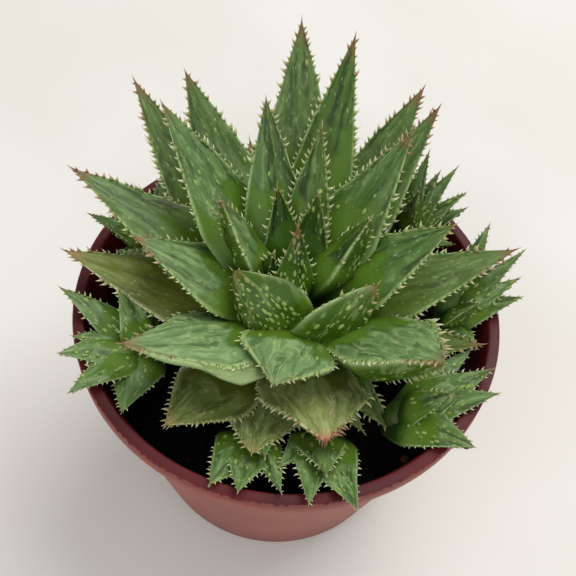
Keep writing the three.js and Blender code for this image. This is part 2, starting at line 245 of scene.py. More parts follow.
lamp("window_light", (0.42, 0.5, 1.1), 0.9, 11.2)
lamp("room_light", (-0.3, -0.95, 0.75), 1.2, 5.0)

sky = bpy.data.worlds.new("sky")
sky.use_nodes = True
sky_shader = sky.node_tree.nodes["Background"].inputs
sky_shader["Color"].default_value = SKY_COLOUR
sky_shader["Strength"].default_value = SKY_STRENGTH
bpy.context.scene.world = sky
bpy.context.scene.view_settings.view_transform = "Standard"

# %% [markdown]
# ## From a bmesh to a piece
# Each shape is built in millimetres, because that is how pots and leaves are measured. This helper
# turns the finished bmesh into metres, makes an object of it at the origin, lets it ride on the
# model's one body and hides the node that it stands for.

# %% Piece helper
def to_metres(bm):
    bmesh.ops.scale(bm, vec=(MM, MM, MM), verts=bm.verts)


def new_piece(name, bm, finishes, node=None, smooth=True):
    """Makes a piece of a bmesh. It stands for the node of the fixed model, if one is named."""
    to_metres(bm)
    bmesh.ops.recalc_face_normals(bm, faces=bm.faces)
    for face in bm.faces:
        face.smooth = smooth
    mesh = mesh_of(name, bm)
    for finish in finishes:
        mesh.materials.append(finish)
    piece = shown(name, mesh)
    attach(piece, "root")
    if node:
        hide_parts(node)
    return piece


def polar(azimuth, reach, height):
    """A point from its azimuth in degrees, its reach from the pot's axis and its height."""
    turn = math.radians(azimuth)
    return Vector((reach * math.cos(turn), reach * math.sin(turn), height))


def spun(bm, outline, steps):
    """A body turned from an outline of radius and height that starts and ends on the axis."""
    chain = [bm.verts.new((radius, 0, height)) for radius, height in outline]
    edges = [bm.edges.new(pair) for pair in zip(chain, chain[1:])]
    bmesh.ops.spin(bm, geom=chain + edges, axis=(0, 0, 1), cent=(0, 0, 0),
                   steps=steps, angle=math.tau, use_merge=True)
    bmesh.ops.remove_doubles(bm, verts=bm.verts, dist=1e-4)


print("a point on the rim:", [round(x, 1) for x in polar(300, 50, 70)])

# %% [markdown]
# ## The pot
# A nursery pot is blown or pressed from thin plastic: a tapered wall, a turned-out lip and a floor
# with drain holes. It is a turned body, so its outline is spun round the axis. The corners of the
# lip are then bevelled, because pressed plastic has no sharp corner, and the holes are cut out of
# the floor.

# %% Pot
POT_HEIGHT = 70
RIM_RADIUS = 50
FOOT_RADIUS = 35
NECK_RADIUS = 47.6
WALL = 1.4
POT_FLOOR = 1.8
LIP_DEPTH = 4
LIP_WIDTH = 2.6
POT_SIDES = 128
ROUNDING = 0.45
CORNER_TURN = 0.3
DRAIN_COUNT = 8
DRAIN_RADIUS = 3.5
DRAIN_RING = 23
DRAIN_SIDES = 24
CUTTER_DEPTH = 8

neck = POT_HEIGHT - LIP_DEPTH
WALL_SLOPE = (NECK_RADIUS - FOOT_RADIUS) / neck
outline = [(0, 0), (FOOT_RADIUS, 0), (NECK_RADIUS, neck), (RIM_RADIUS, neck), (RIM_RADIUS, POT_HEIGHT),
           (RIM_RADIUS - LIP_WIDTH, POT_HEIGHT), (NECK_RADIUS - WALL, neck),
           (FOOT_RADIUS - WALL, POT_FLOOR), (0, POT_FLOOR)]
bm = bmesh.new()
spun(bm, outline, POT_SIDES)
bmesh.ops.recalc_face_normals(bm, faces=bm.faces)


def is_corner(edge):
    """True for an edge round the pot where its outline turns sharply, such as those of the lip."""
    first, second = (vert.co for vert in edge.verts)
    level = abs(first.z - second.z) < 1e-4 and first.xy.length > 1
    return level and len(edge.link_faces) == 2 and edge.calc_face_angle() > CORNER_TURN


corners = [edge for edge in bm.edges if is_corner(edge)]
bmesh.ops.bevel(bm, geom=corners, offset=ROUNDING, segments=3, profile=0.5, affect="EDGES", material=-1)
pot = new_piece("nursery_pot", bm, [], "pot")

bm = bmesh.new()
for i in range(DRAIN_COUNT):
    centre = polar(360 * (i + 0.5) / DRAIN_COUNT, DRAIN_RING, 0)
    bmesh.ops.create_cone(bm, cap_ends=True, segments=DRAIN_SIDES, radius1=DRAIN_RADIUS,
                          radius2=DRAIN_RADIUS, depth=CUTTER_DEPTH, matrix=Matrix.Translation(centre))
to_metres(bm)
cutter = shown("drain_cutter", mesh_of("drain_cutter", bm))
cut = pot.modifiers.new("drain_holes", "BOOLEAN")
cut.object = cutter
cut.solver = "EXACT"
bpy.context.view_layer.update()
pot.data = bpy.data.meshes.new_from_object(pot.evaluated_get(bpy.context.evaluated_depsgraph_get()))
pot.modifiers.clear()
bpy.data.objects.remove(cutter)
print("pot faces", len(pot.data.polygons))

# %% [markdown]
# The plastic is a dull red brown, and the outer wall is a dusty pink brown. The top of the lip and
# the inner wall are dark maroon, partly the deeper red of the plastic and partly painted shade of the
# leaves that hang over them. So the colour follows the height and the distance from the axis, with
# soft stains over it, and the lip's edge has pale specks, partly wear and partly a painted highlight.

# %% Pot finish
pot_finish, tree, shader = new_finish("pot_plastic", Specular_IOR_Level=0.25)
place = object_place(tree)
height = parts_of(tree, place)[2]
radius = vector_calc(tree, "LENGTH", stretched(tree, place, (1, 1, 0)))[1]
cloud = grain(tree, place, 60, 3)
speck = grain(tree, place, 900, 2)

# The wall is stained, and darker at its foot and just under the top of the lip.
wall = mixed(tree, fade(tree, cloud, 0.3, 0.7), srgb(136, 70, 60), srgb(152, 88, 76))
wall = mixed(tree, fade(tree, height, 0.0, 0.03, 0.3, 0.0), wall, srgb(110, 58, 50))
wall = mixed(tree, fade(tree, height, 0.066, 0.0695, 0.0, 0.7), wall, srgb(112, 46, 44))

# The top of the lip and the inner wall are maroon, partly the plastic's deeper red and partly painted
# shade of the leaves over them. The inner wall lies within the middle of the wall.
lip = mixed(tree, fade(tree, cloud, 0.35, 0.65), srgb(66, 9, 13), srgb(86, 20, 24))
above = fade(tree, height, 0.0695, 0.0698)
mid_wall = times_plus(tree, height, WALL_SLOPE, (FOOT_RADIUS - WALL / 2) * MM)
inside = calc(tree, "LESS_THAN", radius, mid_wall)
shaded = times(tree, inside, fade(tree, height, 0.03, 0.05))
skin = mixed(tree, calc(tree, "MAXIMUM", above, shaded), wall, lip)

# The outer edge of the lip is paler in specks, partly from wear and partly a painted highlight along the
# edge.
edge_wear_and_highlight = times(tree, above, fade(tree, radius, 0.0496, 0.0499), fade(tree, speck, 0.35, 0.6), 0.6)
skin = mixed(tree, edge_wear_and_highlight, skin, srgb(156, 90, 80))
tree.links.new(skin, shader["Base Color"])
tree.links.new(fade(tree, cloud, 0.2, 0.8, 0.45, 0.6), shader["Roughness"])
bump(tree, shader, speck, 0.05, 0.5)
pot.data.materials.clear()
pot.data.materials.append(pot_finish)
print("pot finish nodes", len(tree.nodes))

# %% [markdown]
# ## The soil
# The soil is a plug that ends well under the rim, heaped a little towards the stem, with lumps. Its
# outline is spun as the pot's is, with many rings on top, and each point of the top is then lifted
# to the height that the solid has there, with a fine crumble over it.

# %% Soil
SOIL_TOP = 56
SOIL_HEAP = 2.4
SOIL_LUMP = 0.7
SOIL_REACH = 44
SOIL_SIDES = 160
SOIL_RINGS = 44
GAP = 0.3
CRUMBLE = 0.55
CRUMBLE_SCALE = 0.45


def soil_height(x, y):
    """The height of the solid's top at a place, in millimetres: a heap with slow lumps on it."""
    heap = SOIL_HEAP * (1 - math.hypot(x, y) / SOIL_REACH)
    lumps = math.sin(x * 0.31 + 1) * math.cos(y * 0.27) + 0.6 * math.sin(x * 0.13 - y * 0.22)
    return SOIL_TOP + heap + SOIL_LUMP * lumps


def wall_at(height):
    """The soil's radius at a height, just inside the wall of the pot."""
    return FOOT_RADIUS - WALL - 2 * GAP + WALL_SLOPE * height


foot = POT_FLOOR + GAP
rim = wall_at(SOIL_TOP)
rings = [(rim * (1 - i / SOIL_RINGS), SOIL_TOP) for i in range(SOIL_RINGS)]
bm = bmesh.new()
spun(bm, [(0, foot), (wall_at(foot), foot), *rings, (0, SOIL_TOP)], SOIL_SIDES)
for vert in bm.verts:
    if vert.co.z > SOIL_TOP - 1:
        rough = noise.fractal(vert.co * CRUMBLE_SCALE, 1.0, 2.0, 4) * CRUMBLE
        vert.co.z = soil_height(vert.co.x, vert.co.y) + rough
soil = new_piece("soil_plug", bm, [], "soil")
print("soil top", round(max(v.co.z for v in soil.data.vertices) / MM, 1), "mm")

# %% [markdown]
# Loose crumbs lie on the soil, with a few round granules of pale clay. There are hundreds of
# crumbs, so each is a lump of only twenty faces, turned and stretched at random.

# %% Crumbs and granules
CRUMB_COUNT = 900
CRUMB_SIZES = (0.35, 0.5, 0.7, 1.0)
CRUMB_REACH = 43.5
CRUMB_STRETCH = 0.35
GRANULES = [(-9, -33, 1.25), (-17.5, -10.5, 1.1), (30, -31, 0.9), (-37, -14, 0.8), (12, -38, 0.7)]
GRANULE_STRETCH = 0.12
draw = random.Random(11)


def lump(bm, x, y, size, lift, stretch):
    """A grain on the soil, turned and stretched at random, with its middle a share of its size up."""
    place = Vector((x, y, soil_height(x, y) + size * lift))
    turn = Quaternion([draw.uniform(-1, 1) for _ in range(3)] + [1]).normalized()
    sizes = [size * draw.uniform(1 - stretch, 1 + stretch) for _ in range(3)]
    matrix = Matrix.Translation(place) @ turn.to_matrix().to_4x4() @ Matrix.Diagonal(sizes).to_4x4()
    bmesh.ops.create_icosphere(bm, subdivisions=1, radius=1, matrix=matrix)


bm = bmesh.new()
for i in range(CRUMB_COUNT):
    spot = polar(draw.uniform(0, 360), CRUMB_REACH * math.sqrt(draw.random()), 0)
    size = draw.choice(CRUMB_SIZES) * draw.uniform(0.8, 1.3)
    lump(bm, spot.x, spot.y, size, 0.3, CRUMB_STRETCH)
crumbs = new_piece("soil_crumbs", bm, [], smooth=False)

bm = bmesh.new()
for x, y, size in GRANULES:
    lump(bm, x, y, size, 0.7, GRANULE_STRETCH)
bmesh.ops.subdivide_edges(bm, edges=bm.edges, cuts=1, smooth=1.0, use_grid_fill=True)
granules = new_piece("clay_granules", bm, [])
print("crumbs", CRUMB_COUNT, "granules", len(GRANULES))

# %% [markdown]
# Damp potting soil is dark, with brown and grey specks. It is painted nearly black, partly its own
# dark colour and partly painted shade of the leaves and the rim over it. A coarse and a fine noise
# give its colour and its relief. Granules take a paler clay brown.

# %% Soil finishes
def earth(name, dark, light, rough):
    """A crumbly finish between a dark and a light tone."""
    finish, tree, shader = new_finish(name, Roughness=rough, Specular_IOR_Level=0.12)
    place = object_place(tree)
    coarse = grain(tree, place, 350, 4, 0.7)
    fine = grain(tree, place, 1400, 3, 0.7)
    both = times_plus(tree, coarse, 0.6, times(tree, fine, 0.4))
    tree.links.new(mixed(tree, fade(tree, both, 0.42, 0.66), dark, light), shader["Base Color"])
    bump(tree, shader, both, 0.6)
    return finish


# Partly painted shade: the soil and its crumbs are painted nearly black for the shade under the leaves.
soil.data.materials.append(earth("potting_soil", srgb(5, 4, 3), srgb(18, 14, 11), 0.95))
crumbs.data.materials.append(earth("soil_crumb", srgb(8, 6, 5), srgb(34, 26, 21), 0.95))
granules.data.materials.append(earth("clay_granule", srgb(84, 54, 44), srgb(128, 92, 78), 0.9))
print("soil finishes", [piece.data.materials[0].name for piece in (soil, crumbs, granules)])

# %% [markdown]
# ## What a leaf is
# A leaf of this plant is a thick blade with a keel: a nearly flat face above, two margins, and two
# flanks that meet in a keel below. All leaves share one rule: a line from the seat on the stem to the
# tip, and an outline that swells and then tapers. Slow noise adds soft swells, lengthwise ridges on
# the outer part and slightly wavy margins. Only the sizes differ from leaf to leaf, so one function
# makes them all.

# %% The rule of a leaf
SLENDER = dict(base=0.42, widest=0.45, swell=1, taper=1.12, face=0.24)
BLUNT = dict(base=0.3, widest=0.62, swell=1.5, taper=1.03, face=0.16, flank=0.45)
STUBBY = dict(base=0.3, widest=0.56, swell=1, taper=1.57, face=0.3, flank=0.55)
BASE_THICK = 0.34
THIN_OUT = 0.75
BULGES = (1.7, 0.6)
BULGE_ENDS = (0.25, 0.65)
SOFT_RELIEF = 0.5
SOFT_WAVES = (1.6, 8)
RIDGE = 0.9
RIDGE_WAVES = (4.2, 16)
RIDGE_ENDS = (0.35, 0.6)
SWAY = 0.035
SWAY_WAVES = (3, 6)
SWAY_SIDEWAYS = 0.6


def eased(value, start, end):
    """Goes smoothly from 0 to 1 between start and end."""
    share = min(1.0, max(0.0, (value - start) / (end - start)))
    return share * share * (3 - 2 * share)


def swollen(base, leaf, along):
    """Swells from a share at the base to 1 where the leaf is widest."""
    return base + (1 - base) * math.sin(math.pi / 2 * along / leaf["widest"]) ** leaf["swell"]


def leaf_shares(leaf, along):
    """Width and thickness along the leaf, as shares of its full width and thickness."""
    if along < leaf["widest"]:
        return swollen(leaf["base"], leaf, along), swollen(BASE_THICK, leaf, along)
    width = 1 - ((along - leaf["widest"]) / (1 - leaf["widest"])) ** leaf["taper"]
    return width, width ** THIN_OUT


def leaf_axes(leaf, along):
    """The point of the leaf's line, and its forward, sideways and upward directions there."""
    back = 1 - along
    point = leaf["foot"] * back ** 2 + leaf["knee"] * (2 * back * along) + leaf["tip_point"] * along ** 2
    forward = (leaf["knee"] - leaf["foot"]) * back + (leaf["tip_point"] - leaf["knee"]) * along
    forward.normalize()
    level = polar(leaf["azimuth"] - 90, 1, 0)
    side = (level - forward * level.dot(forward)).normalized()
    side.rotate(Quaternion(forward, math.radians(leaf["roll"])))
    return point, forward, side, side.cross(forward)


def unevenness(leaf, across, along, waves, other=0):
    """Slow noise over a leaf: waves across its half width, and millimetres along for each wave."""
    return noise.noise(Vector((across * waves[0], along * leaf["length"] / waves[1], leaf["seed"] + other)))


def skin_height(leaf, along, across, over):
    """How far the even skin lies above the line of the margins, as a share of the thickness."""
    if over:
        bulge = BULGES[0] + (BULGES[1] - BULGES[0]) * eased(along, *BULGE_ENDS)
        return leaf["face"] * (1 - across ** 2) * bulge
    keel = leaf["keel"]
    inwards = (1 + across) / (1 + keel) if across < keel else (1 - across) / (1 - keel)
    return (leaf["face"] - 1) * max(0.0, inwards) ** leaf["flank"]


def skin_point(leaf, along, across, over):
    """A point of the leaf's skin: along from 0 to 1, across from -1 to 1, over or under the margins."""
    point, _, side, face = leaf_axes(leaf, along)
    width, thick = leaf_shares(leaf, along)
    height = skin_height(leaf, along, across, over)
    fullness = min(1, width * 2)
    soft = SOFT_RELIEF * unevenness(leaf, across, along, SOFT_WAVES, over)
    soft += RIDGE * unevenness(leaf, across, along, RIDGE_WAVES, over) * eased(along, *RIDGE_ENDS)
    soft *= fullness * (1 - across ** 4)
    sway = unevenness(leaf, math.copysign(1, across), along, SWAY_WAVES)
    sway *= SWAY * leaf["width"] * fullness * across ** 2
    return (point + side * (across * (width * leaf["width"] / 2 + SWAY_SIDEWAYS * sway))
            + face * (height * thick * leaf["thick"] + soft + sway))


def skin_normal(leaf, along, across, over):
    """A point of the skin and the outward direction there, from two small steps on the skin."""
    step = 0.01
    here = skin_point(leaf, along, across, over)
    ahead = skin_point(leaf, along + step, across, over) - here
    beside = skin_point(leaf, along, across + (step if across < 0 else -step), over) - here
    normal = ahead.cross(beside).normalized()
    outward = leaf_axes(leaf, along)[3] * (1 if over else -1)
    return here, normal if normal.dot(outward) > 0 else -normal


print("half way along a slender leaf:", [round(x, 2) for x in leaf_shares(SLENDER, 0.5)])

# %% [markdown]
# A leaf leaves its seat at a given rise and bends towards its tip, so its line has a knee half its
# length away in that first direction. The seed, which makes the noise differ from leaf to leaf, comes
# from the place of the tip.

# %% The line of a leaf
SEAT_RADIUS = 3.5
STOUT = 7.5
STOUT_FLANK = 0.62
THIN_FLANK = 0.78
PLAIN = dict(roll=0, keel=0, tooth=1.6, pitch=1.6, pearls=(0.3, 0.02), **SLENDER)


def with_line(leaf):
    """Completes a leaf whose foot, tip_point, azimuth and rise are known."""
    rise = math.radians(leaf["rise"])
    away = polar(leaf["azimuth"], math.cos(rise), math.sin(rise))
    leaf["length"] = (leaf["tip_point"] - leaf["foot"]).length
    leaf["knee"] = leaf["foot"] + away * (leaf["length"] / 2)
    leaf["seed"] = leaf["tip_point"].x * 0.7 + leaf["tip_point"].z * 1.3
    return leaf


def large_leaf(seat, tip, rise, width, thick, look, own=None):
    """A leaf of the rosette from its row of the table. Its own values come before the plain ones."""
    flank = STOUT_FLANK if thick >= STOUT else THIN_FLANK
    leaf = {**PLAIN, "azimuth": seat[0], "flank": flank, **(own or {})}
    leaf.update(foot=polar(seat[0], SEAT_RADIUS, seat[1]), tip_point=polar(*tip), rise=rise,
                width=width, thick=thick, look=look)
    return with_line(leaf)


print("a plain leaf's teeth are", PLAIN["tooth"], "mm long")

# %% [markdown]
# ## Tooth and pearl
# A tooth is a small curved claw that leans towards the leaf's tip, and a pearl is a low dome. There
# are thousands of both, so each is made once from a ring of five or six points, extruded and
# narrowed a few times, and the copies are placed by a matrix.

# %% Tooth and pearl
# Each ring has its radius, its height and its lean, for a tooth or pearl 1 mm in size.
CLAW = [(0.42, 0.0, 0.0), (0.26, 0.32, 0.03), (0.12, 0.68, 0.14), (0.02, 1.0, 0.36)]
DOME = [(0.55, -0.12, 0.0), (0.42, 0.06, 0.0), (0.24, 0.12, 0.0), (0.06, 0.14, 0.0)]
CLAW_FLATNESS = 0.6

# A leaf's finishes are its skin and then these two. Its layers of values come in this order.
HORN, PEARL = 1, 2
SHARE, PLACE, LOOK, STAND_OUT = range(4)


def leaf_layers(bm):
    """The values that a leaf carries for its finishes: share of width, length and depth; millimetres
    along and across; its look; and how far a point stands out on a tooth or pearl."""
    vectors = [bm.verts.layers.float_vector.new(name) for name in ("leaf_share", "leaf_mm", "leaf_look")]
    return vectors + [bm.verts.layers.float.new("stand_out")]


def points_in(geometry):
    return [g for g in geometry if isinstance(g, bmesh.types.BMVert)]


def each_once(things):
    """The things in their order, without those that come again."""
    return list(dict.fromkeys(things))


def stacked(bm, profile, sides, flat, material, layers):
    """A ring extruded up through the profile's radius, height and lean, and closed at the top."""
    first_radius, first_height, first_lean = profile[0]
    ring = bmesh.ops.create_circle(bm, segments=sides, radius=first_radius)["verts"]
    bmesh.ops.translate(bm, vec=(first_lean, 0, first_height), verts=ring)
    verts = list(ring)
    before = 1.0
    for radius, height, lean in profile:
        share = radius / first_radius
        if height > first_height:
            edges = each_once(e for v in ring for e in v.link_edges if e.other_vert(v) in ring)
            ring = points_in(bmesh.ops.extrude_edge_only(bm, edges=edges)["geom"])
            centre = sum((v.co for v in ring), Vector()) / sides
            narrower = share / before
            bmesh.ops.scale(bm, vec=(narrower, narrower, 1), verts=ring, space=Matrix.Translation(-centre))
            bmesh.ops.translate(bm, vec=(lean - centre.x, 0, height - centre.z), verts=ring)
            verts += ring
        before = share
        for vert in ring:
            vert[layers[STAND_OUT]] = max(0.0, height / profile[-1][1])
    bmesh.ops.contextual_create(bm, geom=ring)
    bmesh.ops.scale(bm, vec=(1, flat, 1), verts=verts)
    faces = each_once(f for v in verts for f in v.link_faces)
    for face in faces:
        face.material_index = material
    return verts + faces


print("claw rings", len(CLAW), "dome rings", len(DOME))

# %% [markdown]
# ## A leaf from a straight tube
# The body of a leaf starts as a straight tube that is cut into rings lengthwise, as a modeller
# would start it. Each point of the tube is then carried to its place on the leaf: its height in the
# tube says how far along the leaf it is, and its turn says where on the section. The end ring is
# merged into the tip. The points keep these two numbers, so the finishes can follow the leaf.

# %% Body of a leaf
SIDES = 40
STATION = 1.0
LEAST_SPREAD = 0.4


def tag(vert, layers, leaf, along, across, over):
    """Notes on a point where it lies on its leaf. The millimetres across never shrink to nothing, or
    the markings would all run together at the tip."""
    spread = LEAST_SPREAD + (1 - LEAST_SPREAD) * leaf_shares(leaf, along)[0]
    vert[layers[SHARE]] = (across, along, 0.0 if over else 1.0)
    vert[layers[PLACE]] = (across * spread * leaf["width"] / 2, along * leaf["length"], leaf["seed"])
    vert[layers[LOOK]] = leaf["look"]


def add_body(bm, layers, leaf, sides):
    bmesh.ops.create_cone(bm, cap_ends=True, cap_tris=True, segments=sides, radius1=1, radius2=1, depth=1)
    lengthwise = [e for e in bm.edges if abs(e.verts[0].co.z - e.verts[1].co.z) > 0.5]
    cuts = round(leaf["length"] / STATION)
    bmesh.ops.subdivide_edges(bm, edges=lengthwise, cuts=cuts, use_grid_fill=True)
    for vert in bm.verts:
        on_skin = vert.co.xy.length > 0.5
        along = min(1.0, max(0.0, vert.co.z + 0.5))
        turn = math.atan2(vert.co.y, vert.co.x)
        over = turn > -1e-4
        across = -math.cos(turn) if on_skin else 0.0
        if not over:
            across = leaf["keel"] + across * (1 - math.copysign(leaf["keel"], across))
        tag(vert, layers, leaf, along, across, over)
        vert.co = skin_point(leaf, along, across, over) if on_skin else leaf_axes(leaf, along)[0]
    tip = [v for v in bm.verts if v[layers[SHARE]].y > 0.9999]
    bmesh.ops.remove_doubles(bm, verts=tip, dist=1e-3)


print("points round a leaf:", SIDES)

# %% [markdown]
# ## Teeth, pearls and the bristle at the tip
# Teeth stand along both margins and the outer keel of the outer two thirds of a leaf. Their pitch,
# size and lean vary, and some are missing. Pearls stand in staggered rows on the flanks, thickly on
# some leaves and thinly on others. A bristle ends the tip.

# %% Teeth
TEETH_FROM = 0.36
TEETH_TO = 0.985
KEEL_FROM = 0.58
TOOTH_MISSES = 0.1
TOOTH_SINK = 0.15
BRISTLE = 1.2
BRISTLE_SINK = 0.35


def place_copy(bm, layers, template, leaf, spot, root, up, ahead, size):
    """A copy of a template, with its foot at root, its top along up and its lean towards ahead."""
    verts = points_in(bmesh.ops.duplicate(bm, geom=template)["geom"])
    up = up.normalized()
    beside = up.cross(ahead).normalized()
    axes = Matrix((beside.cross(up), beside, up)).transposed().to_4x4()
    scale = Matrix.Diagonal(size).to_4x4()
    bmesh.ops.transform(bm, matrix=Matrix.Translation(root) @ axes @ scale, verts=verts)
    for vert in verts:
        tag(vert, layers, leaf, *spot)


def tooth_size(leaf, along, start, draw):
    """Teeth are smaller where the leaf is narrow and where a row begins, and no two are alike."""
    width = leaf_shares(leaf, along)[0] * leaf["width"]
    size = leaf["tooth"] * min(1, 0.65 + width / 16) * min(1, 0.3 + 3 * (along - start))
    return size * draw.uniform(0.5, 1.3)


def add_teeth(bm, layers, leaf, claw, draw):
    """A row of teeth on each margin and on the keel, and a bristle on the tip."""
    step = leaf["pitch"] / leaf["length"]
    for across, start in ((1.0, TEETH_FROM), (-1.0, TEETH_FROM), (leaf["keel"], KEEL_FROM)):
        along = start + draw.random() * step
        while along < TEETH_TO:
            _, forward, side, face = leaf_axes(leaf, along)
            out = side * across if abs(across) == 1 else -face
            size = tooth_size(leaf, along, start, draw)
            up = out + forward * draw.uniform(0.1, 0.9) + face * draw.uniform(-0.35, 0.35)
            if draw.random() > TOOTH_MISSES:
                root = skin_point(leaf, along, across, False) - up * (TOOTH_SINK * size)
                place_copy(bm, layers, claw, leaf, (along, across, False), root, up, forward, (size,) * 3)
            along += step * draw.uniform(0.6, 1.4)
    tip, forward, _, face = leaf_axes(leaf, 1.0)
    size = BRISTLE * leaf["tooth"] * draw.uniform(0.8, 1.2)
    place_copy(bm, layers, claw, leaf, (0.99, 0.0, True), tip - forward * (BRISTLE_SINK * size),
               forward, face, (size / 2, size / 2, size))


print("teeth from", TEETH_FROM, "keel teeth from", KEEL_FROM)

# %% [markdown]
# A pearl's place is drawn near its place in the row, and it is left out close to a margin or the keel.
# It stands square to the skin and is a little longer than wide.

# %% Pearls
PEARLS_FROM = 0.34
PEARLS_TO = 0.95
PEARL_PITCH = 1.2
PEARL_SPREAD = 0.8
PEARL_MARGIN = 0.88
KEEL_CLEAR = 0.1


def add_pearls(bm, layers, leaf, dome, draw):
    """Staggered rows of pearls on the flanks and, on some leaves, on the face."""
    for over, share in ((False, leaf["pearls"][0]), (True, leaf["pearls"][1])):
        along = PEARLS_FROM
        row = 0
        while share > 0 and along < PEARLS_TO:
            half = leaf_shares(leaf, along)[0] * leaf["width"] / 2
            count = int(PEARL_SPREAD * half / PEARL_PITCH)
            for k in range(-count, count + 1):
                across = (k + 0.5 * (row % 2) + draw.uniform(-0.25, 0.25)) * PEARL_PITCH / max(half, 0.1)
                here = along + draw.uniform(-0.3, 0.3) * PEARL_PITCH / leaf["length"]
                size = draw.uniform(0.6, 1.25)
                near_edge = abs(across) > PEARL_MARGIN or abs(across - leaf["keel"]) < KEEL_CLEAR
                if draw.random() > share or near_edge:
                    continue
                root, normal = skin_normal(leaf, here, across, over)
                forward = leaf_axes(leaf, here)[1]
                sizes = (size * draw.uniform(1.1, 2.0), size * draw.uniform(0.7, 1), size)
                place_copy(bm, layers, dome, leaf, (here, across, over), root, normal, forward, sizes)
            along += PEARL_PITCH / leaf["length"]
            row += 1


print("pearl pitch", PEARL_PITCH, "mm")

# %% [markdown]
# The body, the teeth and the pearls stay one bmesh, so a leaf is one piece. The two templates go once
# the copies are made.

# %% A whole leaf
def whole_leaf(leaf, draw, sides=SIDES):
    """The body of a leaf with its teeth and pearls, in a bmesh of its own."""
    bm = bmesh.new()
    layers = leaf_layers(bm)
    add_body(bm, layers, leaf, sides)
    claw = stacked(bm, CLAW, 5, CLAW_FLATNESS, HORN, layers)
    dome = stacked(bm, DOME, 6, 1.0, PEARL, layers)
    add_teeth(bm, layers, leaf, claw, draw)
    add_pearls(bm, layers, leaf, dome, draw)
    bmesh.ops.delete(bm, geom=points_in(claw + dome), context="VERTS")
    return bm


def join_into(bm, part):
    """Adds a finished bmesh to another one."""
    carrier = mesh_of("carrier", part)
    bm.from_mesh(carrier)
    bpy.data.meshes.remove(carrier)


def tag_stem(bm, layers):
    """A bare stem takes the finish of a leaf's base, with its bright green and the painted shade of its
    foot.
    """
    for vert in bm.verts:
        vert[layers[SHARE]] = (0, 0.2, 1)
        vert[layers[PLACE]] = vert.co


print("rings in a leaf of 40 mm:", round(40 / STATION) + 2)

# %% [markdown]
# ## Markings of a leaf
# The outer half of a mature leaf's face is a cool grey green window with wavy darker grooves, pale
# flecks and a faint pale net. Its flanks are a warmer green. Its swollen base is bright and plain,
# partly its own paler green and partly painted light that shines through the swollen flesh, and
# where it goes down between the other leaves it is painted dark, as painted shade. The margins are
# pale, and the tip is burnt brown. Old leaves turn olive. All of this follows the leaf, so the
# markings read the numbers that the points carry. The group is built once and placed in each leaf
# finish with its own colours.

# %% Leaf markings
def pattern(tree, place, across, along, detail=2.0, roughness=0.5):
    """Noise over a leaf, with its fineness given for a millimetre across and along."""
    return grain(tree, stretched(tree, place, (across, along, 1)), 1, detail, roughness)


